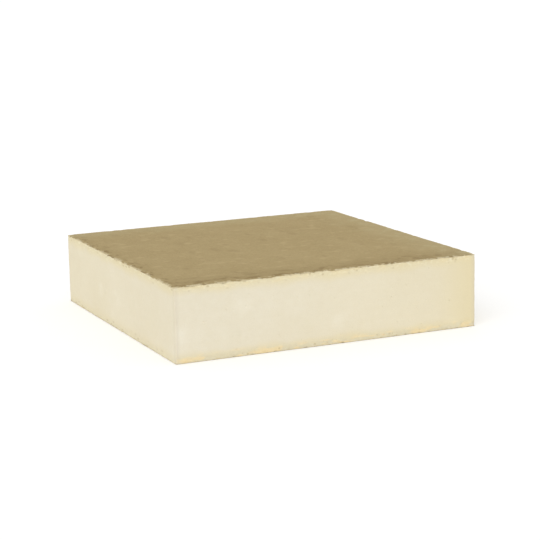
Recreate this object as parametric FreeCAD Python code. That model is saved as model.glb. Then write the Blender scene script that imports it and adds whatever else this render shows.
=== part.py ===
# Faced polyiso insulation board: a slab of rigid closed-cell foam with a felt facer bonded to its
# top and its underside, all trimmed flush in one cut.
# Millimetres, +Z up. The origin is the centre of the underside, X runs along the front edge and
# Y from the front edge to the back.
import FreeCAD, Part
import math
import os

# Driving dimensions
board_length = 304.8  # along X, 12 in
board_width = 304.8  # along Y, 12 in
board_thickness = 69.85  # over both facers, 2 3/4 in
facer_thickness = 0.6  # fibre-reinforced felt, the same stock on both faces
corner_radius = 1.2  # how far handling has rounded the upright corners

# What follows from them
core_thickness = board_thickness - 2 * facer_thickness
corner_centre_x = board_length / 2 - corner_radius
corner_centre_y = board_width / 2 - corner_radius


def corner_arcs():
    """The four rounded corners of the plan at height zero, against the clock from +X +Y."""
    upwards = FreeCAD.Vector(0, 0, 1)
    quarter_turn = math.pi / 2
    arcs = []
    for turn, (side_x, side_y) in enumerate(((1, 1), (-1, 1), (-1, -1), (1, -1))):
        centre = FreeCAD.Vector(side_x * corner_centre_x, side_y * corner_centre_y, 0)
        circle = Part.Circle(centre, upwards, corner_radius)
        arcs.append(Part.ArcOfCircle(circle, turn * quarter_turn, (turn + 1) * quarter_turn))
    return arcs


def trimmed_plan():
    """The face that the trim cut leaves in plan: the corners joined by straight edges."""
    arcs = corner_arcs()
    edges = []
    for arc, next_arc in zip(arcs, arcs[1:] + arcs[:1]):
        edges.append(arc.toShape())
        edges.append(Part.LineSegment(arc.EndPoint, next_arc.StartPoint).toShape())
    return Part.Face(Part.Wire(edges))


def layer(underside, thickness):
    """One layer of the board, over the whole trimmed plan, from its underside upwards."""
    plan = trimmed_plan()
    plan.translate(FreeCAD.Vector(0, 0, underside))
    return plan.extrude(FreeCAD.Vector(0, 0, thickness))


def board_pieces():
    """Each piece by its name, stacked from the underside up with the bonded faces touching."""
    stack = (
        ("bottom_facer", facer_thickness),
        ("foam_core", core_thickness),
        ("top_facer", facer_thickness),
    )
    pieces = {}
    underside = 0.0
    for name, thickness in stack:
        pieces[name] = layer(underside, thickness)
        underside += thickness
    return pieces


def main():
    os.makedirs("parts", exist_ok=True)
    for name, solid in board_pieces().items():
        box = solid.BoundBox
        print(f"{name}: {box.XLength:.2f} x {box.YLength:.2f} x {box.ZLength:.2f} mm,", end=" ")
        print(f"from z {box.ZMin:.2f} to {box.ZMax:.2f}, valid {solid.isValid()}")
        solid.exportStep(f"parts/{name}.step")


main()
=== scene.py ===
import math
import random
import bmesh
import bpy
from mathutils import Matrix, Vector, noise
from mathutils.geometry import delaunay_2d_cdt


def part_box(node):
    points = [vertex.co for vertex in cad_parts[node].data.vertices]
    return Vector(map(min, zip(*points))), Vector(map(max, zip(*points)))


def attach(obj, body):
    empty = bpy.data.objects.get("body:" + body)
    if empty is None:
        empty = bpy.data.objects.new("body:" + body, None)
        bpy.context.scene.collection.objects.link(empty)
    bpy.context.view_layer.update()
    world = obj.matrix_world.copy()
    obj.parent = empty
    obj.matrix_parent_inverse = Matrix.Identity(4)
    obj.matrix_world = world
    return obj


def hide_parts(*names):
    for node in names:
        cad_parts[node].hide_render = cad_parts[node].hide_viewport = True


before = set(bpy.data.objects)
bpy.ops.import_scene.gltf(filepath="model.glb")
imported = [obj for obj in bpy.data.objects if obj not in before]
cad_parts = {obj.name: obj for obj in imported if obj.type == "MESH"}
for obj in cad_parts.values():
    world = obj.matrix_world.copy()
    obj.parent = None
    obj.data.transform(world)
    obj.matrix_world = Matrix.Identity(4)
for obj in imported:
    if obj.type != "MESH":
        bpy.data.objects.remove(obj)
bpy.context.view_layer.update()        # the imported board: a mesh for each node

coreLow, coreHigh = (Vector(corner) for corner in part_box("foam_core"))
topLow, topHigh = (Vector(corner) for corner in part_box("top_facer"))
underLow, underHigh = (Vector(corner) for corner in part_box("bottom_facer"))
halfX, halfY = coreHigh.x, coreHigh.y
coreHeight = coreHigh.z - coreLow.z
midHeight = (coreLow.z + coreHigh.z) / 2
print("frame loaded, core", [round(size * 1000, 2) for size in coreHigh - coreLow], "mm")

# what the saw and the handling did to the whole board, shared by the foam and both facers;
# a level is 1 for the top face and -1 for the underside, and a layer of lumps has the size and seed of
# its noise, the value where the lumps start and the value where they are full
board = {
    "cornerRadius": 0.0012,
    "cornerFade": (0.0014, 0.0070),       # tears and lips grow in over this stretch from an upright corner
    "knocks": {"size": 0.011, "seed": 3.1, "least": 0.05, "most": 0.60},
    "knockDepth": {1: 0.0006, -1: 0.00015},
    "cornerKnock": 0.6,                   # the share of a knock that every upright corner has
    "sags": {"size": 0.075, "seed": 8.3, "least": -0.30, "most": 0.50},
    "sagDepth": {1: 0.00022, -1: 0.0},
    "wornReach": 0.0034,                  # how far in from an edge knocks and sags are felt
    "lips": {"size": 0.0046, "seed": 2.7, "least": 0.36, "most": 0.62},
    "lipDrop": {1: 0.0005, -1: 0.0},      # how far the saw dragged felt down over the foam
    "lipPress": 0.00028,                  # how far that pressed the foam in
    "lipReach": 0.0020,                   # how far down the foam was pressed
    "looseness": 0.22,                    # how far a vertex of a loose grid strays, in steps of the grid
    "sharpAngle": 48.0,                   # edges sharper than this aren't shaded smooth
}
seedWay = Vector((1.0, -0.6, 0.3))        # a seed moves the noise along this line
onePoint = 1e-7                           # points nearer to each other than this are one


def patch(place, size, seed):
    # smooth noise from -1 to 1 whose lumps are about that size
    return noise.noise(Vector(place) / size + seed * seedWay)


def smoothStep(low, high, value):
    share = min(max((value - low) / (high - low), 0.0), 1.0)
    return share * share * (3.0 - 2.0 * share)


def lumps(place, layer):
    return smoothStep(layer["least"], layer["most"], patch(place, layer["size"], layer["seed"]))


def relief(place, layers):
    # noise added up, each layer a height, a size and a seed
    return sum(height * patch(place, size, seed) for height, size, seed in layers)


# the four sides in turn, against the clock from the front: along, outwards, half length, half depth
sides = (
    (Vector((1, 0)), Vector((0, -1)), halfX, halfY),
    (Vector((0, 1)), Vector((1, 0)), halfY, halfX),
    (Vector((-1, 0)), Vector((0, 1)), halfX, halfY),
    (Vector((0, -1)), Vector((-1, 0)), halfY, halfX),
)


def sideWidth(side):
    # from the middle of one rounded corner to the middle of the next
    radius = board["cornerRadius"]
    return 2 * (sides[side][2] - radius) + radius * math.pi / 2


def sidePlace(side, reach):
    # the point that far along a side, and its outward direction, in plan
    along, out, halfLength, halfDepth = sides[side]
    radius = board["cornerRadius"]
    arc = radius * math.pi / 4
    straight = min(max(reach - arc, 0.0), sideWidth(side) - 2 * arc)
    turn = (reach - arc - straight) / radius
    facing = out * math.cos(turn) + along * math.sin(turn)
    return along * (radius - halfLength + straight) + out * (halfDepth - radius) + facing * radius, facing


def edgeDistance(plan):
    return min(halfX - abs(plan[0]), halfY - abs(plan[1]))


def cornerShare(plan):
    # 0 at an upright corner, 1 well away from it, for places at the edge
    return smoothStep(*board["cornerFade"], max(halfX - abs(plan[0]), halfY - abs(plan[1])))


def knock(plan, level):
    # how far the edge of a face is pressed towards the middle of the board
    near = max(0.0, 1.0 - edgeDistance(plan) / board["wornReach"]) ** 2
    if near == 0.0:
        return 0.0
    place = (plan[0], plan[1], level)
    knocked = lumps(place, board["knocks"]) + board["cornerKnock"] * (1.0 - cornerShare(plan))
    sagged = lumps(place, board["sags"])
    return near * (board["knockDepth"][level] * knocked + board["sagDepth"][level] * sagged)


def lip(plan, level):
    # 1 where felt hangs over the edge
    if board["lipDrop"][level] == 0.0:
        return 0.0
    return lumps((plan[0], plan[1], level), board["lips"]) * cornerShare(plan)


def rectangleRing(low, high, pitch):
    # points round a rectangle, against the clock from its low corner
    corners = [Vector(low), Vector((high[0], low[1])), Vector(high), Vector((low[0], high[1]))]
    ring = []
    for start, end in zip(corners, corners[1:] + corners[:1]):
        count = max(1, round((end - start).length / pitch))
        ring += [start.lerp(end, step / count) for step in range(count)]
    return ring


def looseGrid(low, high, pitch, rng):
    # a grid over a rectangle, every other row shifted by half a step, whose points stray a little
    points, most = [], board["looseness"] * pitch
    width, height = high - low
    rows, columns = round(height / pitch), round(width / pitch)
    for row in range(rows + 1):
        odd = row % 2
        for column in range(columns + odd):
            place = Vector((width * (column + 0.5 - 0.5 * odd) / columns, height * row / rows))
            points.append(low + place + Vector((rng.uniform(-most, most), rng.uniform(-most, most))))
    return points


def innerPoints(low, high, layout, rng):
    # points inside a rectangle: rings, each an inset and a pitch, and a loose grid within them
    low, high, inwards = Vector(low), Vector(high), Vector((1.0, 1.0))
    points = []
    for inset, pitch in layout["rings"]:
        points += rectangleRing(low + inset * inwards, high - inset * inwards, pitch)
    start = layout["gridInset"] * inwards
    return points + looseGrid(low + start, high - start, layout["gridPitch"], rng)


def facePoints(layout, rng):
    return innerPoints((-halfX, -halfY), (halfX, halfY), layout, rng)


def onFace(points, height, level, drop):
    # the points at that height, each lowered by what drop says of its place
    return [Vector((point.x, point.y, height - level * drop(point, level))) for point in points]


def fillOutline(outline, inner):
    # triangles inside a closed outline that also pass through the inner points
    rim = [list(range(len(outline)))]
    _, _, faces, origins, _, _ = delaunay_2d_cdt(outline + inner, [], rim, 1, onePoint)
    return [[origins[corner][0] for corner in face] for face in faces]


def planMap(numbered, middle, width):
    # the places on the bake map of numbered points as seen from above, in a square about its middle
    scale = width / (2 * max(halfX, halfY))
    return {key: (middle[0] + point.x * scale, middle[1] + point.y * scale) for key, point in numbered}


def addObject(name, data):
    added = bpy.data.objects.new(name, data)
    bpy.context.scene.collection.objects.link(added)
    return added


def makePiece(name, verts, groups, material, node):
    # one closed mesh; each group is its faces and the place of each vertex on the bake map
    mesh = bpy.data.meshes.new(name)
    mesh.from_pydata(verts, [], [face for faces, _ in groups for face in faces])
    layer = mesh.uv_layers.new(name="OFBake")
    places = [place[corner] for faces, place in groups for face in faces for corner in face]
    layer.data.foreach_set("uv", [value for place in places for value in place])
    work = bmesh.new()
    work.from_mesh(mesh)
    bmesh.ops.recalc_face_normals(work, faces=work.faces)
    openEdges = sum(1 for edge in work.edges if len(edge.link_faces) != 2)
    work.to_mesh(mesh)
    work.free()
    mesh.shade_smooth()
    mesh.set_sharp_from_angle(angle=math.radians(board["sharpAngle"]))
    mesh.materials.append(material)
    piece = addObject(name, mesh)
    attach(piece, "root")
    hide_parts(node)
    print(name, "has", len(mesh.polygons), "faces and", openEdges, "open edges")


# shader helpers and the effects that the materials share

def setSockets(tree, node, sockets):
    # link or set each socket, by name or by number
    for name, value in sockets.items():
        if isinstance(value, bpy.types.NodeSocket):
            tree.links.new(value, node.inputs[name])
        else:
            node.inputs[name].default_value = value


def addNode(tree, kind, sockets, **settings):
    node = tree.nodes.new("ShaderNode" + kind)
    for name, value in settings.items():
        setattr(node, name, value)
    setSockets(tree, node, sockets)
    return node


def calc(tree, operation, *values):
    return addNode(tree, "Math", dict(enumerate(values)), operation=operation).outputs[0]


def times(tree, first, *others):
    for other in others:
        first = calc(tree, "MULTIPLY", first, other)
    return first


def inverse(tree, share):
    return calc(tree, "SUBTRACT", 1.0, share)


def vectorCalc(tree, operation, *values):
    return addNode(tree, "VectorMath", dict(enumerate(values)), operation=operation).outputs[0]


def axes(tree, vector):
    return addNode(tree, "SeparateXYZ", {0: vector}).outputs


def blendColor(tree, share, first, second, way="MIX"):
    sockets = {0: share, 6: first, 7: second}             # a Mix node's colours are sockets 6 and 7
    return addNode(tree, "Mix", sockets, data_type="RGBA", blend_type=way).outputs[2]


def ramp(tree, value, low, high, toLow=0.0, toHigh=1.0):
    sockets = {0: value, 1: low, 2: high, 3: toLow, 4: toHigh}
    return addNode(tree, "MapRange", sockets, interpolation_type="SMOOTHSTEP").outputs[0]


def between(tree, share, low, high):
    # low where share is 0, high where it is 1
    return ramp(tree, share, 0.0, 1.0, low, high)


def cloudNoise(tree, vector, size, detail, roughness):
    scale = calc(tree, "DIVIDE", 1.0, size)
    sockets = {"Vector": vector, "Scale": scale, "Detail": detail, "Roughness": roughness}
    return addNode(tree, "TexNoise", sockets).outputs[0]


def newGroup(name, vectors, numbers, output):
    # an empty node group with named sockets, and its inner ends
    tree = bpy.data.node_groups.new(name, "ShaderNodeTree")
    for kind, socketNames in (("Vector", vectors), ("Float", numbers)):
        for socketName in socketNames:
            tree.interface.new_socket(name=socketName, in_out="INPUT", socket_type="NodeSocket" + kind)
    tree.interface.new_socket(name=output, in_out="OUTPUT", socket_type="NodeSocketFloat")
    return tree, tree.nodes.new("NodeGroupInput").outputs, tree.nodes.new("NodeGroupOutput").inputs


def useGroup(tree, group, vector, settings):
    return addNode(tree, "Group", {"Vector": vector, **settings}, node_tree=group).outputs[0]


def makeMottle():
    # cloudy unevenness, coarse and fine together, from 0 to 1
    sizes = ["Coarse Size", "Fine Size", "Fine Share"]
    tree, given, result = newGroup("boardMottle", ["Vector"], sizes, "Cloud")
    coarse = cloudNoise(tree, given["Vector"], given["Coarse Size"], detail=3.0, roughness=0.55)
    fine = cloudNoise(tree, given["Vector"], given["Fine Size"], detail=2.0, roughness=0.6)
    mixed = addNode(tree, "Mix", {0: given["Fine Share"], 2: coarse, 3: fine})
    usualLow, usualHigh = 0.3, 0.7                       # noise seldom goes beyond these
    tree.links.new(ramp(tree, mixed.outputs[0], usualLow, usualHigh), result["Cloud"])
    return tree


def makeSpecks():
    # scattered spots of up to Radius: Share is how many of the cells hold one
    sizes = ["Spacing", "Radius", "Share", "Softness"]
    tree, given, result = newGroup("boardSpecks", ["Vector"], sizes, "Spots")
    cells = addNode(tree, "TexVoronoi", {
        "Vector": given["Vector"], "Scale": calc(tree, "DIVIDE", 1.0, given["Spacing"])})
    chosen = addNode(tree, "SeparateColor", {0: cells.outputs["Color"]})
    there = calc(tree, "LESS_THAN", chosen.outputs[0], given["Share"])
    smallest = 0.4                                       # as a share of Radius
    radius = times(tree, given["Radius"], between(tree, chosen.outputs[1], smallest, 1.0))
    away = times(tree, cells.outputs["Distance"], given["Spacing"])
    full = times(tree, radius, inverse(tree, given["Softness"]))
    tree.links.new(times(tree, ramp(tree, away, radius, full), there), result["Spots"])
    return tree


def makeStreaks():
    # marks drawn out along the axes by Size and turned in plan, from Least noise up to Most
    tree, given, result = newGroup("boardStreaks", ["Vector", "Size"], ["Turn", "Least", "Most"], "Streaks")
    turned = addNode(tree, "VectorRotate", {
        "Vector": given["Vector"], "Angle": given["Turn"]}, rotation_type="Z_AXIS")
    drawn = vectorCalc(tree, "DIVIDE", turned.outputs[0], given["Size"])
    marks = cloudNoise(tree, drawn, 1.0, detail=2.0, roughness=0.5)
    tree.links.new(ramp(tree, marks, given["Least"], given["Most"]), result["Streaks"])
    return tree


def makeEdgeBand():
    # 1 at the nearest face of a box about Centre, fading inwards with an uneven front
    tree, given, result = newGroup("boardEdgeBand", ["Vector", "Centre", "Half Size"],
                                   ["Reach", "Uneven", "Uneven Size"], "Band")
    spread = vectorCalc(tree, "ABSOLUTE", vectorCalc(tree, "SUBTRACT", given["Vector"], given["Centre"]))
    inX, inY, inZ = axes(tree, vectorCalc(tree, "SUBTRACT", given["Half Size"], spread))
    nearest = calc(tree, "MINIMUM", calc(tree, "MINIMUM", inX, inY), inZ)
    wander = cloudNoise(tree, given["Vector"], given["Uneven Size"], detail=3.0, roughness=0.6)
    swing = calc(tree, "MULTIPLY_ADD", wander, 2.0, -1.0)          # from -1 to 1
    reach = times(tree, given["Reach"], calc(tree, "MULTIPLY_ADD", swing, given["Uneven"], 1.0))
    tree.links.new(ramp(tree, nearest, reach, 0.0), result["Band"])
    return tree


mottleGroup, speckGroup = makeMottle(), makeSpecks()
streakGroup, edgeBandGroup = makeStreaks(), makeEdgeBand()
print("shader groups made")

farAway = 9.0      # a half size that an edge band never reaches


def edgeBox(x, y):
    # a box with faces at some of the board's edges: x is -1 for the left one and 1 for the right one, and
    # y is -1 for the front one and 1 for the back one
    return {"Centre": (-x * farAway, -y * farAway, 0.0),
            "Half Size": (farAway + abs(x) * halfX, farAway + abs(y) * halfY, farAway)}


def newMaterial(name):
    material = bpy.data.materials.new(name)
    material.use_nodes = True
    tree = material.node_tree
    place = addNode(tree, "TexCoord", {}).outputs["Object"]
    return material, tree, tree.nodes["Principled BSDF"], place


def finishMaterial(tree, shader, color, roughness, height, finish):
    bump = addNode(tree, "Bump", {**finish["bump"], "Height": height})
    setSockets(tree, shader, {"Base Color": color, "Roughness": roughness, "Normal": bump.outputs[0],
                              "Specular IOR Level": finish["gloss"]})


# the foam core

foam = {
    "seed": 41,
    "gridSeed": 410,
    # mesh: spacing along the edges, then inset and spacing of rings and of the grid within them, for a sawn
    # side and for a face bonded to a facer
    "rimPitch": 0.0007,
    "sawn": {"rings": ((0.0005, 0.0008), (0.0012, 0.0010), (0.0021, 0.0013), (0.0032, 0.0016)),
             "gridInset": 0.0049, "gridPitch": 0.0017},
    "bonded": {"rings": ((0.0024, 0.0020), (0.0050, 0.0040)), "gridInset": 0.011, "gridPitch": 0.012},
    # the sawn face: height, size and seed of its unevenness, and of marks that the saw drew upright
    "setBack": 0.00012,
    "uneven": ((0.00010, 0.048, 1.7), (0.00006, 0.0055, 8.4), (0.00005, 0.0028, 2.9)),
    "sawMarks": ((0.00004, 0.0035, 5.2),),
    "sawDraw": 0.06,
    # cells torn out next to the facers, crumbled away under them, and chipped off the upright corners
    "torn": ((0.00060, 0.0023, 6.6),),
    "tornBack": 0.00015,
    "tornReach": 0.0026,
    "crumbled": {"size": 0.0034, "seed": 9.5, "least": 0.30, "most": 0.70},
    "crumbledDepth": 0.0006,
    "softReach": 0.0040,
    "chips": {"size": 0.0085, "seed": 4.3, "least": -0.20, "most": 0.50},
    "chipDepth": 0.00036,
    "chipTurn": 0.75,
    # blowholes: how many a side, least and most half width, depth as a share of it
    "voids": ((30, 0.0003, 0.0006, 0.8), (5, 0.0006, 0.0010, 0.5), (4, 0.0016, 0.0028, 0.12)),
    "voidMargin": 0.006,
    "voidTall": (1.0, 1.7),
    "voidVary": (0.7, 1.2),
    "voidApart": 1.4,
    "voidRagged": ((0.16, 0.7, 0.0),),
    "voidRound": 0.7,                         # lower is a fuller bowl
    "voidRings": ((0.45, 6), (0.8, 10), (1.0, 14), (1.3, 14)),     # share of the half width, vertices
    "voidClear": 1.55,                        # no other vertex comes nearer than this
    # the bake map: margin, width of a side, gap between sides, and size and middle of the bonded faces
    "mapMargin": 0.01,
    "mapWidth": 0.98,
    "mapGap": 0.008,
    "mapBonded": 0.055,
    "mapMiddle": {1: (0.0375, 0.9675), -1: (0.1025, 0.9675)},
    # colours
    "cream": (0.806, 0.738, 0.572, 1.0),
    "pale": (0.842, 0.782, 0.632, 1.0),
    "straw": (0.798, 0.692, 0.425, 1.0),      # the skin under the facers, and what light has yellowed
    "amber": (0.905, 0.725, 0.410, 1.0),      # brighter stain along the lower edges
    "dull": (0.715, 0.655, 0.490, 1.0),       # greyer foam between
    # the upright corners' darker, greyer colour: painted shade with crushed cells
    "crushedCornerShade": (0.700, 0.625, 0.480, 1.0),
    "tuft": (0.862, 0.780, 0.545, 1.0),
    # dark crumbs of felt, and painted shade in pits
    "crumbAndPitShade": (0.520, 0.415, 0.225, 1.0),
    "roughness": (0.86, 0.95),
    "gloss": 0.2,
    "bump": {"Strength": 0.55, "Distance": 0.0002},
    # clouds, and layers that the rising foam left, level with the facers
    "clouds": {"Coarse Size": 0.060, "Fine Size": 0.005, "Fine Share": 0.35},
    "layers": {"Size": (0.070, 0.070, 0.0045), "Least": 0.35, "Most": 0.65},
    "layerShare": 0.22,
    # yellowing: stretches from left to right in half lengths, with what each adds
    "aged": ((-0.70, 0.70, 0.30), (0.66, 1.00, 0.50)),
    "agedRight": 0.45,                        # the right side has this much of it
    "agedLeft": (0.14, 0.27),                 # what the left side has besides, from its front to its back
    "sideDepth": 0.0015,                      # how deep those two sides are taken to go
    # the skin under the facers, in general and low on the left, and the rind at its edge
    "skin": {"Reach": 0.012, "Uneven": 0.7, "Uneven Size": 0.020},
    "skinShare": (0.80, 0.38),
    "rind": {"Reach": 0.0085, "Uneven": 0.6, "Uneven Size": 0.009},
    "tufts": {"Size": (0.0040, 0.0085, 0.0024), "Least": 0.50, "Most": 0.62},
    "stains": {"Size": (0.019, 0.019, 0.006), "Least": 0.47, "Most": 0.60},
    "stainShare": (0.70, 0.15),               # along the lower edges and along the upper ones
    "stainLeft": 0.55,
    "upperBlend": 0.010,
    # crumbs of felt that the saw left, with painted shade of small pits under the facers, drawn out along
    # the sides
    "crumbsAndPitShade": {"Spacing": 0.0036, "Radius": 0.0016, "Share": 0.50, "Softness": 0.7},
    "crumbAndPitShadeDraw": (0.8, 0.4, 1.0),
    "crumbAndPitShadeShare": 0.6,
    # faint bright spots and dull ones, each with its tint
    "spots": (
        ({"Spacing": 0.030, "Radius": 0.0130, "Share": 0.3, "Softness": 0.9}, (1.035, 1.045, 1.070, 1.0)),
        ({"Spacing": 0.034, "Radius": 0.0140, "Share": 0.3, "Softness": 0.9}, (0.955, 0.955, 0.945, 1.0)),
    ),
    # painted shade along the upright corners, which damps the lamp's highlight on their rounding, with
    # crushed cells: where that starts, where it is full, and its share there
    "crushedShadeStrip": (0.0060, 0.0010, 0.40),
    # cut cells and small pits, both painted darker in their hollows as painted shade
    "cellScale": 1500.0,
    "cellRange": (0.1, 0.8),
    "cellShade": (0.955, 1.0),
    "cellHeight": 0.6,
    "pits": {"Spacing": 0.0024, "Radius": 0.0006, "Share": 0.25, "Softness": 0.6},
    "pitShadeShare": 0.15,
    "pitHeight": -1.2,
}


def foamVoids(side):
    # blowholes that the saw opened, kept clear of each other
    rng = random.Random(foam["seed"] + side)
    margin = foam["voidMargin"]
    found = []
    for count, least, most, depth in foam["voids"]:
        for _ in range(count):
            halfWidth = rng.uniform(least, most)
            halfHeight = halfWidth * rng.uniform(*foam["voidTall"])
            reach = rng.uniform(margin, sideWidth(side) - margin)
            place = Vector((reach, rng.uniform(margin, coreHeight - margin)))
            if all((place - other["place"]).length > foam["voidApart"] * (halfHeight + other["halfHeight"])
                   for other in found):
                found.append({"place": place, "halfWidth": halfWidth, "halfHeight": halfHeight,
                              "depth": halfWidth * depth * rng.uniform(*foam["voidVary"])})
    return found


def voidShare(void, point):
    # 0 in the middle of a blowhole, 1 at its ragged lip
    across = (point.x - void["place"].x) / void["halfWidth"]
    up = (point.y - void["place"].y) / void["halfHeight"]
    far = math.hypot(across, up)
    if far == 0.0 or far > 2 * foam["voidClear"]:         # the middle, or well clear of the lip
        return far
    lipPlace = (across / far, up / far, void["place"].x / void["halfWidth"])
    return far / (1.0 + relief(lipPlace, foam["voidRagged"]))


def voidPoints(void):
    points = [void["place"].copy()]
    for share, count in foam["voidRings"]:
        for step in range(count):
            turn = 2 * math.pi * (step + share) / count
            offset = Vector((math.cos(turn) * void["halfWidth"], math.sin(turn) * void["halfHeight"]))
            points.append(void["place"] + offset * share)
    return points


def foamRelief(place, facing, fromFace):
    # how far the sawn face stands out at a place on the nominal face
    height = relief(place, foam["uneven"]) - foam["setBack"]
    height += relief((place.x, place.y, place.z * foam["sawDraw"]), foam["sawMarks"])
    torn = relief(place, foam["torn"]) - foam["tornBack"]
    height += torn * math.exp(-(fromFace / foam["tornReach"]) ** 2)
    upright = smoothStep(0.0, foam["chipTurn"], 1.0 - abs(abs(facing.x) - abs(facing.y)))
    return height - foam["chipDepth"] * upright * lumps(place, foam["chips"])


def foamVertex(side, point, voids):
    # where a point of a side laid flat comes to lie on the worn board
    plan, facing = sidePlace(side, point.x)
    place = Vector((plan.x, plan.y, coreLow.z + point.y))
    level = 1 if place.z > midHeight else -1
    fromFace = min(point.y, coreHeight - point.y)
    height = foamRelief(place, facing, fromFace)
    for void in voids:
        height -= void["depth"] * max(0.0, 1.0 - voidShare(void, point) ** 2) ** foam["voidRound"]
    height -= board["lipPress"] * lip(plan, level) * max(0.0, 1.0 - fromFace / board["lipReach"])
    crumbled = foam["crumbledDepth"] * lumps(place, foam["crumbled"])
    sunk = (knock(plan, level) + crumbled) * max(0.0, 1.0 - fromFace / foam["softReach"])
    return Vector((plan.x + facing.x * height, plan.y + facing.y * height, place.z - level * sunk))


def sideInner(side, voids):
    # rings that follow the rim, a loose grid within them, and the blowholes
    rng = random.Random(foam["gridSeed"] + side)
    high = (sideWidth(side), coreHeight)
    inner = innerPoints((0.0, 0.0), high, foam["sawn"], rng)
    for void in voids:
        inner = [point for point in inner if voidShare(void, point) > foam["voidClear"]]
        inner += voidPoints(void)
    return inner


def foamSide(side, verts, known):
    # one sawn side, and its vertices along the bottom and along the top
    width, pitch = sideWidth(side), foam["rimPitch"]
    columns, rows = round(width / pitch), round(coreHeight / pitch)
    # the rim runs along the bottom, up the far end, back along the top and down again
    rim = rectangleRing((0.0, 0.0), (width, coreHeight), pitch)
    voids = foamVoids(side)
    inner = sideInner(side, voids)
    # the two upright rows of vertices are shared with the next side and with the last one
    shared = {columns + row: ((side + 1) % len(sides), row) for row in range(rows + 1)}
    shared.update({(2 * (columns + rows) - row) % len(rim): (side, row) for row in range(rows + 1)})
    number = []
    for index, point in enumerate(rim + inner):
        key = shared.get(index, (side, "own", index))
        if key not in known:
            known[key] = len(verts)
            verts.append(foamVertex(side, point, voids))
        number.append(known[key])
    faces = [[number[corner] for corner in face] for face in fillOutline(rim, inner)]
    margin, scale = foam["mapMargin"], foam["mapWidth"] / width
    low = margin + side * (coreHeight * scale + foam["mapGap"])
    place = {index: (margin + point.x * scale, low + point.y * scale)
             for index, point in zip(number, rim + inner)}
    bottom = number[:columns]
    top = [number[2 * columns + rows - step] for step in range(columns)]
    return (faces, place), bottom, top


def foamBonded(verts, rim, level, height, rng):
    # a face that is bonded to a facer
    inner = facePoints(foam["bonded"], rng)
    outline = [verts[number].xy for number in rim]
    number = rim + list(range(len(verts), len(verts) + len(inner)))
    verts += onFace(inner, height, level, knock)
    faces = [[number[corner] for corner in face] for face in fillOutline(outline, inner)]
    numbered = [(index, verts[index]) for index in number]
    return faces, planMap(numbered, foam["mapMiddle"][level], foam["mapBonded"])


def buildFoam(material):
    verts, groups, known = [], [], {}
    rims = {1: [], -1: []}
    for side in range(len(sides)):
        group, bottom, top = foamSide(side, verts, known)
        groups.append(group)
        rims[1] += top
        rims[-1] += bottom
    rng = random.Random(foam["seed"])
    for level, height in ((1, coreHigh.z), (-1, coreLow.z)):
        groups.append(foamBonded(verts, rims[level], level, height, rng))
    makePiece("foamCore", verts, groups, material, "foam_core")


def agedFoam(tree, place, color, leftSide):
    # level layers, and yellow from the light, most at the right end of the front
    layers = useGroup(tree, streakGroup, place, foam["layers"])
    color = blendColor(tree, times(tree, layers, foam["layerShare"]), color, foam["cream"])
    x, y, _ = axes(tree, place)
    aged = 0.0
    for start, end, share in foam["aged"]:
        aged = calc(tree, "ADD", aged, ramp(tree, x, start * halfX, end * halfX, 0.0, share))
    rightSide = ramp(tree, x, halfX - foam["sideDepth"], halfX)
    aged = times(tree, aged, between(tree, rightSide, 1.0, foam["agedRight"]))
    aged = calc(tree, "MULTIPLY_ADD", leftSide, ramp(tree, y, -halfY, halfY, *foam["agedLeft"]), aged)
    return blendColor(tree, aged, color, foam["straw"])


def skinnedFoam(tree, place, color, leftSide):
    # the denser, yellower skin under each facer, with pale tufts, stains below, and crumbs of felt with
    # painted shade of small pits
    _, _, z = axes(tree, place)
    upper = ramp(tree, z, midHeight - foam["upperBlend"], midHeight + foam["upperBlend"])
    core = {"Centre": (0.0, 0.0, midHeight), "Half Size": (farAway, farAway, coreHeight / 2)}
    skin = useGroup(tree, edgeBandGroup, place, {**core, **foam["skin"]})
    lowerLeft = times(tree, leftSide, inverse(tree, upper))
    skin = times(tree, skin, between(tree, lowerLeft, *foam["skinShare"]))
    color = blendColor(tree, skin, color, foam["straw"])
    rind = useGroup(tree, edgeBandGroup, place, {**core, **foam["rind"]})
    tufts = useGroup(tree, streakGroup, place, foam["tufts"])
    color = blendColor(tree, times(tree, tufts, rind), color, foam["tuft"])
    stains = times(tree, useGroup(tree, streakGroup, place, foam["stains"]), inverse(tree, leftSide))
    stainColor = blendColor(tree, stains, foam["dull"], foam["amber"])
    stained = times(tree, rind, between(tree, upper, *foam["stainShare"]))
    stained = times(tree, stained, between(tree, leftSide, 1.0, foam["stainLeft"]))
    color = blendColor(tree, stained, color, stainColor)
    # dark specks under the facers: crumbs of felt and painted shade of small pits
    drawn = vectorCalc(tree, "MULTIPLY", place, foam["crumbAndPitShadeDraw"])
    crumbsAndPitShade = useGroup(tree, speckGroup, drawn, foam["crumbsAndPitShade"])
    return blendColor(tree, times(tree, crumbsAndPitShade, rind, foam["crumbAndPitShadeShare"]), color, foam["crumbAndPitShade"])


def spotsAndCornerShade(tree, place, color):
    # faint spots on the sawn faces, and painted shade with crushed cells along the upright corners
    for spots, tint in foam["spots"]:
        color = blendColor(tree, useGroup(tree, speckGroup, place, spots), color, tint, "MULTIPLY")
    x, y, _ = axes(tree, vectorCalc(tree, "ABSOLUTE", place))
    fromCorner = calc(tree, "SUBTRACT", halfX + halfY, calc(tree, "ADD", x, y))
    # painted shade along the upright corners, with crushed cells
    start, full, share = foam["crushedShadeStrip"]
    return blendColor(tree, ramp(tree, fromCorner, start, full, 0.0, share), color, foam["crushedCornerShade"])


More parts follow.
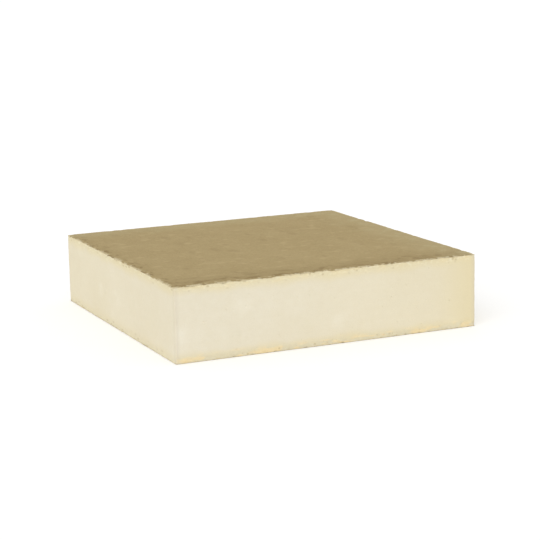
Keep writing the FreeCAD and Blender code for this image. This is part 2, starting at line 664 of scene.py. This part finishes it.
def cutCells(tree, place, color):
    # the cut cells and small pits, as colour and as height; their hollows are painted darker, painted shade
    cells = addNode(tree, "TexVoronoi", {"Vector": place, "Scale": foam["cellScale"]}).outputs["Distance"]
    # darker in the hollow middle of each cell: painted shade
    shade = ramp(tree, cells, *foam["cellRange"], *foam["cellShade"])
    color = blendColor(tree, 1.0, color, shade, "MULTIPLY")
    pits = useGroup(tree, speckGroup, place, foam["pits"])
    # the pits painted darker: painted shade
    color = blendColor(tree, times(tree, pits, foam["pitShadeShare"]), color, foam["crumbAndPitShade"])
    height = calc(tree, "MULTIPLY_ADD", cells, foam["cellHeight"], times(tree, pits, foam["pitHeight"]))
    return color, height


def foamMaterial():
    material, tree, shader, place = newMaterial("sawnFoam")
    x, _, _ = axes(tree, place)
    leftSide = ramp(tree, x, foam["sideDepth"] - halfX, -halfX)
    clouds = useGroup(tree, mottleGroup, place, foam["clouds"])
    color = blendColor(tree, clouds, foam["cream"], foam["pale"])
    color = agedFoam(tree, place, color, leftSide)
    color = skinnedFoam(tree, place, color, leftSide)
    color = spotsAndCornerShade(tree, place, color)
    color, height = cutCells(tree, place, color)
    finishMaterial(tree, shader, color, between(tree, clouds, *foam["roughness"]), height, foam)
    return material


# the felt facers

felt = {
    "seed": 17,
    # mesh: spacing along the cut edge, insets that follow it, and rings and grid as in the foam, for the
    # face that shows and for the bonded one
    "rimPitch": 0.0006,
    "insets": (0.0003, 0.0009),
    "shown": {"rings": ((0.0042, 0.0018), (0.0060, 0.0022)), "gridInset": 0.0084, "gridPitch": 0.0024},
    "bonded": {"rings": ((0.0050, 0.0040),), "gridInset": 0.011, "gridPitch": 0.014},
    "bondGap": 0.00001,                       # what is left between felt and foam
    # the cut edge: height, size and seed of its waver, and tears with the deepest of them by level
    "setBack": 0.00012,
    "waver": ((0.00016, 0.036, 2.2), (0.00016, 0.0075, 7.7), (0.00012, 0.0019, 4.6)),
    "tears": {"size": 0.0052, "seed": 1.3, "least": 0.24, "most": 0.70},
    "tearDepth": {1: 0.0018, -1: 0.0007},
    "fuzz": ((0.00007, 0.0011, 5.5),),
    "fuzzReach": 0.00007,
    "lipSwell": 0.0001,
    "levelApart": 0.05,                       # how far apart in the noise the two facers lie
    # the outer face: height, size and seed of its slack, and how it rolls over at the edge
    "slack": ((0.00006, 0.055, 3.3), (0.00005, 0.013, 6.1), (0.00003, 0.006, 8.8)),
    "slackRoom": 0.00012,
    "rollDepth": 0.00016,
    "rollReach": 0.0016,
    # tufts of strands that came loose at the cut edge: how many by level, least and most strands in each,
    # and how many vertices of the rim they spread either way
    "frayCount": {1: 190, -1: 0},
    "frayStrands": (2, 5),
    "fraySpread": 5,
    # a strand: least and most length and radius, how deep it is rooted, how far it leans along the edge
    # and hangs down for its length, how much it thins, and how many rings of how many corners it has
    "strandLength": (0.0006, 0.0019),
    "strandRadius": (0.00005, 0.00012),
    "strandRoot": 0.0004,
    "strandLean": 1.2,
    "strandHang": (0.2, 0.8),
    "strandTaper": 0.7,
    "strandRings": 5,
    "strandCorners": 3,
    # the bake map: width of the shown face, size and middle of the bonded face, and the strips of the edge
    "mapFace": 0.93,
    "mapFaceMiddle": (0.47, 0.47),
    "mapBonded": 0.05,
    "mapBondedMiddle": (0.97, 0.97),
    "mapStripLeft": 0.01,
    "mapStripLow": 0.95,
    "mapStrip": (0.90, 0.006),
    "mapStripStep": 0.010,
    # colours
    "tan": (0.438, 0.336, 0.165, 1.0),
    "dark": (0.375, 0.280, 0.132, 1.0),
    "light": (0.484, 0.374, 0.194, 1.0),
    # scuffs and smudges, and painted shadow along the frayed front and left edges
    "scuffAndShadow": (0.275, 0.196, 0.085, 1.0),
    # paler along the right and back edges: painted sheen
    "edgeSheen": (0.490, 0.408, 0.224, 1.0),
    "umber": (0.180, 0.130, 0.065, 1.0),
    "dust": (0.700, 0.610, 0.400, 1.0),       # foam dust that the saw left in the cut fibres
    "roughness": (0.94, 0.86),
    "gloss": 0.08,
    "bump": {"Strength": 0.5, "Distance": 0.0002},
    # clouds and grain of the matted sheet
    "clouds": {"Coarse Size": 0.040, "Fine Size": 0.003, "Fine Share": 0.40},
    "tanShare": 0.62,
    "grain": {"Coarse Size": 0.0018, "Fine Size": 0.0007, "Fine Share": 0.5},
    "grainShade": (0.94, 1.05),
    "grainHeight": 0.8,
    # strands pressed into it: their size, turns in degrees, least noise, share and shade
    "paleStrands": {"size": (0.006, 0.0007, 0.0007), "turns": (8.0, 64.0, -47.0), "least": 0.56,
                    "share": 0.60, "shade": "light"},
    "darkStrands": {"size": (0.0045, 0.0008, 0.0008), "turns": (31.0, -12.0, -78.0), "least": 0.63,
                    "share": 0.30, "shade": "umber"},
    "strandFade": 0.14,
    "bendScale": 160.0,
    "bend": (0.003, 0.003, 0.0),
    # pale rubbed patches, soft dark smudges drawn out along the sheet, and flecks
    "rubbed": {"Size": (0.015, 0.011, 1.0), "Turn": 0.05, "Least": 0.56, "Most": 0.70},
    "rubbedShare": 0.9,
    "smudges": {"Spacing": 0.020, "Radius": 0.0080, "Share": 0.60, "Softness": 0.9},
    "smudgeDraw": (1.0, 0.45, 1.0),
    "smudgeShare": 0.26,
    "flecks": {"Spacing": 0.0040, "Radius": 0.0011, "Share": 0.20, "Softness": 0.8},
    "fleckShare": 0.30,
    # bands along the edges, darker at the front and left with scuffs and painted shadow under the lifted,
    # frayed edge, and paler at the right and back with painted sheen: the edges that they follow, how far
    # in, size of the strokes, how much an even tone covers and how much the strokes add, and the shade
    "bands": (
        # darker towards the front edge
        {"edges": (0, -1), "reach": 0.050,
         "stroke": (0.016, 0.008, 1.0), "even": 0.26, "strokes": 0.10, "shade": "scuffAndShadow"},
        # dark strokes along the front edge: scuffs and painted shadow under the lifted, frayed edge
        {"edges": (0, -1), "reach": 0.034,
         "stroke": (0.013, 0.009, 1.0), "even": 0.0, "strokes": 1.0, "shade": "scuffAndShadow"},
        # the same strokes along the left edge
        {"edges": (-1, 0), "reach": 0.016,
         "stroke": (0.005, 0.012, 1.0), "even": 0.08, "strokes": 1.0, "shade": "scuffAndShadow"},
        # paler along the right and back edges: painted sheen
        {"edges": (1, 1), "reach": 0.050,
         "stroke": (0.012, 0.012, 1.0), "even": 0.40, "strokes": 0.60, "shade": "edgeSheen"},
    ),
    "bandEdge": {"Uneven": 0.6, "Uneven Size": 0.030},
    "strokeRange": {"Least": 0.46, "Most": 0.68},
    "strokeFade": (0.70, 1.50),
    # dust along the cut edge by level: how much it covers, and how much of it is left in its gaps
    "dusted": {1: 0.8, -1: 1.0},
    "dustLeft": {1: 0.25, -1: 0.8},
    "dustBand": {"Half Size": (halfX + 0.001, halfY, farAway),     # a little less at the left and right
                 "Reach": 0.0060, "Uneven": 0.9, "Uneven Size": 0.006},
    "dustGaps": {"Size": (0.007, 0.010, 1.0), "Least": 0.57, "Most": 0.45},
    "dustFade": (0.85, 1.40),
}


def raggedEdge(plan, level):
    # how far the felt reaches past the trimmed edge, less where it is torn
    place = (plan.x, plan.y, felt["levelApart"] * level)
    torn = felt["tearDepth"][level] * lumps(place, felt["tears"]) * cornerShare(plan)
    return relief(place, felt["waver"]) - torn - felt["setBack"]


def feltSurface(plan, level):
    # how far the outer face lies below its highest, from slack in the sheet and from knocks
    slack = relief((plan.x, plan.y, felt["levelApart"] * level), felt["slack"])
    roll = felt["rollDepth"] * max(0.0, 1.0 - edgeDistance(plan) / felt["rollReach"]) ** 2
    return felt["slackRoom"] - slack + roll + knock(plan, level)


def drawnIn(line, reaches, inset):
    return [plan + out * (reach - inset) for (plan, out), reach in zip(line, reaches)]


def cutLine(level):
    # the torn edge in plan: points by side, outward directions, what lies just inside, and where felt hangs
    counts = [round(sideWidth(side) / felt["rimPitch"]) for side in range(len(sides))]
    line = [sidePlace(side, sideWidth(side) * step / count)
            for side, count in enumerate(counts) for step in range(count)]
    reaches = [raggedEdge(plan, level) for plan, _ in line]
    near, far = felt["insets"]
    return {
        "counts": counts,
        "outs": [out for _, out in line],
        "rim": drawnIn(line, reaches, 0.0),
        "inside": drawnIn(line, reaches, near) + drawnIn(line, reaches, far)[::2],     # half as many there
        "hanging": [lip(plan, level) for plan, _ in line],
    }


def shownFace(verts, edge, level, height, rng):
    # the outer face, whose vertices come first and start with the rim
    inner = edge["inside"] + facePoints(felt["shown"], rng)
    verts += onFace(edge["rim"] + inner, height, level, feltSurface)
    faces = fillOutline(edge["rim"], inner)
    return faces, planMap(enumerate(verts), felt["mapFaceMiddle"], felt["mapFace"])


def bondedFace(verts, edge, level, height, rng):
    # the face on the foam, lowered at the rim where felt hangs over
    first = len(verts)
    inner = edge["inside"] + facePoints(felt["bonded"], rng)
    rim = [point + out * felt["lipSwell"] * share
           for point, out, share in zip(edge["rim"], edge["outs"], edge["hanging"])]
    verts += onFace(rim + inner, height + level * felt["bondGap"], level, knock)
    for index, share in enumerate(edge["hanging"]):
        verts[first + index].z -= level * board["lipDrop"][level] * share
    faces = [[first + corner for corner in face] for face in fillOutline(rim, inner)]
    return faces, planMap(enumerate(rim + inner, first), felt["mapBondedMiddle"], felt["mapBonded"])


def cutEdge(verts, edge, first, level):
    # the strip between the rims of both faces, with a fuzzy middle, in one group for each side
    middle, count = len(verts), len(edge["rim"])
    for index, (point, out, share) in enumerate(zip(edge["rim"], edge["outs"], edge["hanging"])):
        fuzz = felt["fuzzReach"] + relief((*point, level), felt["fuzz"]) + felt["lipSwell"] * share
        height = (verts[index].z + verts[first + index].z) / 2
        verts.append(Vector((*(point + out * fuzz), height)))
    groups, start = [], 0
    width, rise = felt["mapStrip"]
    for side, steps in enumerate(edge["counts"]):
        faces, place = [], {}
        low = felt["mapStripLow"] + felt["mapStripStep"] * side
        for step in range(steps + 1):
            here, after = (start + step) % count, (start + step + 1) % count
            reach = felt["mapStripLeft"] + width * step / steps
            place[here] = (reach, low)
            place[middle + here] = (reach, low + rise / 2)
            place[first + here] = (reach, low + rise)
            if step < steps:
                faces.append([here, middle + here, middle + after, after])
                faces.append([middle + here, first + here, first + after, middle + after])
        groups.append((faces, place))
        start += steps
    return groups


def looseStrand(start, out, rng):
    # rings of points along one strand that leans, hangs and thins out
    length, radius = rng.uniform(*felt["strandLength"]), rng.uniform(*felt["strandRadius"])
    lean = rng.uniform(-felt["strandLean"], felt["strandLean"])
    up = Vector((0.0, 0.0, 1.0))
    way = (out + lean * up.cross(out)).normalized() * length
    hang = up * -length * rng.uniform(*felt["strandHang"])
    points, last = [], felt["strandRings"] - 1
    for ring in range(felt["strandRings"]):
        share = ring / last
        along = way + 2 * share * hang
        across = along.cross(up).normalized()
        over = across.cross(along).normalized()
        thick = radius * (1.0 - felt["strandTaper"] * share)
        for corner in range(felt["strandCorners"]):
            turn = 2 * math.pi * corner / felt["strandCorners"]
            offset = (across * math.cos(turn) + over * math.sin(turn)) * thick
            points.append(start + way * share + hang * share * share + offset)
    return points


def strandTube(base):
    # the faces of a closed tube whose rings of points start at that vertex
    corners, last = felt["strandCorners"], felt["strandRings"] - 1
    faces = []
    for step in range(corners * last):
        ring, corner = divmod(step, corners)
        here, after = base + step, base + ring * corners + (corner + 1) % corners
        faces.append([here, after, after + corners, here + corners])
    tip = base + corners * last
    return faces + [list(range(base, base + corners)), list(range(tip, tip + corners))]


def frayedStrands(verts, edge, first, level, rng):
    # tufts of loose strands all round the cut edge, rooted in the felt
    groups, count, spread = [], len(edge["rim"]), felt["fraySpread"]
    for _ in range(felt["frayCount"][level]):
        tuft = rng.randrange(count)
        for _ in range(rng.randint(*felt["frayStrands"])):
            index = (tuft + rng.randint(-spread, spread)) % count
            out = edge["outs"][index].to_3d()
            root = (verts[index] + verts[first + index]) / 2 - out * felt["strandRoot"]
            base, points = len(verts), looseStrand(root, out, rng)
            place = planMap(enumerate(points, base), felt["mapFaceMiddle"], felt["mapFace"])
            groups.append((strandTube(base), place))
            verts += points
    return groups


def buildFacer(name, node, level, outerHeight, innerHeight, material):
    rng = random.Random(felt["seed"] + level)
    edge = cutLine(level)
    verts = []
    groups = [shownFace(verts, edge, level, outerHeight, rng)]
    first = len(verts)
    groups.append(bondedFace(verts, edge, level, innerHeight, rng))
    groups += cutEdge(verts, edge, first, level)
    groups += frayedStrands(verts, edge, first, level, rng)
    makePiece(name, verts, groups, material, node)


def crossedStrands(tree, vector, strands, color):
    # strands laid at several turns: their mask, and the colour with them in it
    mask = 0.0
    for turn in strands["turns"]:
        settings = {"Size": strands["size"], "Turn": math.radians(turn), "Least": strands["least"],
                    "Most": strands["least"] + felt["strandFade"]}
        mask = calc(tree, "MAXIMUM", mask, useGroup(tree, streakGroup, vector, settings))
    return mask, blendColor(tree, times(tree, mask, strands["share"]), color, felt[strands["shade"]])


def mattedFelt(tree, place, bent):
    # clouds, matted grain, and pale and dark strands that lie every way in it
    clouds = useGroup(tree, mottleGroup, place, felt["clouds"])
    color = blendColor(tree, clouds, felt["dark"], felt["light"])
    color = blendColor(tree, felt["tanShare"], color, felt["tan"])
    grain = useGroup(tree, mottleGroup, place, felt["grain"])
    color = blendColor(tree, 1.0, color, between(tree, grain, *felt["grainShade"]), "MULTIPLY")
    strands, color = crossedStrands(tree, bent, felt["paleStrands"], color)
    _, color = crossedStrands(tree, bent, felt["darkStrands"], color)
    height = calc(tree, "MULTIPLY_ADD", grain, felt["grainHeight"], strands)
    return color, strands, height


def brokenUp(tree, place, share, fade):
    # a share whose borders follow the felt's grain
    grain = useGroup(tree, mottleGroup, place, felt["grain"])
    return ramp(tree, calc(tree, "ADD", grain, share), *fade)


def wornAndShadedFelt(tree, place, bent, color):
    # rubbed patches, smudges and flecks, with darker bands at the front and left, scuffs and painted shadow
    # of the frayed edge, and paler bands of painted sheen behind
    rubbed = useGroup(tree, streakGroup, place, felt["rubbed"])
    color = blendColor(tree, times(tree, rubbed, felt["rubbedShare"]), color, felt["light"])
    drawn = vectorCalc(tree, "MULTIPLY", place, felt["smudgeDraw"])
    smudges = useGroup(tree, speckGroup, drawn, felt["smudges"])
    color = blendColor(tree, times(tree, smudges, felt["smudgeShare"]), color, felt["scuffAndShadow"])
    # darker bands at the front and left: scuffs and painted shadow of the frayed edge; paler ones at the
    # right and back: painted sheen
    for band in felt["bands"]:
        box = {**edgeBox(*band["edges"]), "Reach": band["reach"]}
        near = useGroup(tree, edgeBandGroup, place, {**box, **felt["bandEdge"]})
        strokes = useGroup(tree, streakGroup, place, {"Size": band["stroke"], **felt["strokeRange"]})
        strokes = brokenUp(tree, place, strokes, felt["strokeFade"])
        cover = calc(tree, "MULTIPLY_ADD", strokes, band["strokes"], band["even"])
        color = blendColor(tree, times(tree, near, cover), color, felt[band["shade"]])
    flecks = useGroup(tree, speckGroup, bent, felt["flecks"])
    return blendColor(tree, times(tree, flecks, felt["fleckShare"]), color, felt["umber"])


def dustedFelt(tree, place, color, level):
    # foam dust that the saw left in the fibres of the cut edge
    rim = useGroup(tree, edgeBandGroup, place, felt["dustBand"])
    gaps = between(tree, useGroup(tree, streakGroup, place, felt["dustGaps"]), felt["dustLeft"][level], 1.0)
    dusty = brokenUp(tree, place, times(tree, rim, gaps), felt["dustFade"])
    return blendColor(tree, times(tree, dusty, felt["dusted"][level]), color, felt["dust"])


def feltMaterial(name, level):
    material, tree, shader, place = newMaterial(name)
    bend = addNode(tree, "TexNoise", {"Vector": place, "Scale": felt["bendScale"], "Detail": 1.0})
    bent = vectorCalc(tree, "MULTIPLY_ADD", bend.outputs["Color"], felt["bend"], place)
    color, strands, height = mattedFelt(tree, place, bent)
    color = wornAndShadedFelt(tree, place, bent, color)
    color = dustedFelt(tree, place, color, level)
    finishMaterial(tree, shader, color, between(tree, strands, *felt["roughness"]), height, felt)
    return material


buildFoam(foamMaterial())
buildFacer("topFacer", "top_facer", 1, topHigh.z, topLow.z, feltMaterial("topFelt", 1))
buildFacer("bottomFacer", "bottom_facer", -1, underLow.z, underHigh.z, feltMaterial("undersideFelt", -1))
print("board dressed")

# floor, light and camera

studio = {
    "floorReach": 40.0,
    "floorColor": (0.92, 0.92, 0.92, 1.0),
    "floorGlow": 0.18,        # what the camera sees besides, so that the lit floor reads white
    "white": (1.0, 1.0, 1.0, 1.0),
    "skyTop": 0.68,
    "skyLow": 1.05,           # the soft lights stand all round, so the sky is brighter near the floor
    "sun": 0.24 * math.pi,    # a share of full white, times pi
    "sunFrom": (-0.55, -0.60, 0.58),
    "sunSpread": 50.0,
}
view = {
    "aim": (0.0239, 0.0354),  # where the sight line meets the board's middle height
    "distance": 1.695,
    "azimuth": -24.09,
    "elevation": 11.235,
    "roll": -1.225,
    "lens": 111.02,
}


def seenDirectly(tree):
    # 1 for what the camera sees, straight, in a reflection or through glass
    rays = addNode(tree, "LightPath", {}).outputs
    straight = calc(tree, "MAXIMUM", rays["Is Camera Ray"], rays["Is Glossy Ray"])
    return calc(tree, "MAXIMUM", straight, rays["Is Transmission Ray"])


def buildFloor():
    reach = studio["floorReach"]
    mesh = bpy.data.meshes.new("floor")
    corners = [(-reach, -reach, 0), (reach, -reach, 0), (reach, reach, 0), (-reach, reach, 0)]
    mesh.from_pydata(corners, [], [(0, 1, 2, 3)])
    floor = addObject("floor", mesh)
    material = bpy.data.materials.new("paleFloor")
    material.use_nodes = True
    tree = material.node_tree
    tree.nodes.clear()
    matte = addNode(tree, "BsdfDiffuse", {"Color": studio["floorColor"]})
    glow = addNode(tree, "Emission", {"Strength": times(tree, seenDirectly(tree), studio["floorGlow"])})
    both = addNode(tree, "AddShader", {0: matte.outputs[0], 1: glow.outputs[0]})
    addNode(tree, "OutputMaterial", {"Surface": both.outputs[0]})
    mesh.materials.append(material)


def buildSky():
    world = bpy.data.worlds.new("studioWorld")
    bpy.context.scene.world = world
    world.use_nodes = True
    tree = world.node_tree
    tree.nodes.clear()
    _, _, rise = axes(tree, addNode(tree, "TexCoord", {}).outputs["Generated"])
    strength = addNode(tree, "MapRange", {0: rise, 3: studio["skyLow"], 4: studio["skyTop"]}).outputs[0]
    sky = addNode(tree, "Background", {"Color": studio["white"], "Strength": strength})
    plain = addNode(tree, "Background", {"Color": studio["white"], "Strength": 1.0})
    mixed = addNode(tree, "MixShader", {0: seenDirectly(tree), 1: sky.outputs[0], 2: plain.outputs[0]})
    addNode(tree, "OutputWorld", {"Surface": mixed.outputs[0]})


def buildSun():
    lamp = bpy.data.lights.new("softSun", "SUN")
    lamp.energy = studio["sun"]
    lamp.angle = math.radians(studio["sunSpread"])
    sun = addObject("softSun", lamp)
    sun.rotation_euler = Vector(studio["sunFrom"]).to_track_quat("Z", "Y").to_euler()


def buildCamera():
    lens = bpy.data.cameras.new("photoCamera")
    lens.lens = view["lens"]
    lens.clip_end = 2 * studio["floorReach"]
    camera = addObject("photoCamera", lens)
    turned = (Matrix.Rotation(math.radians(view["azimuth"]), 4, "Z")
              @ Matrix.Rotation(math.radians(90.0 - view["elevation"]), 4, "X")
              @ Matrix.Rotation(math.radians(view["roll"]), 4, "Z"))
    aim = Vector((*view["aim"], midHeight))
    back = turned.to_3x3() @ Vector((0.0, 0.0, view["distance"]))
    camera.matrix_world = Matrix.Translation(aim + back) @ turned
    bpy.context.scene.camera = camera


buildFloor()
buildSky()
buildSun()
buildCamera()
bpy.context.scene.view_settings.view_transform = "Standard"
print("studio set")
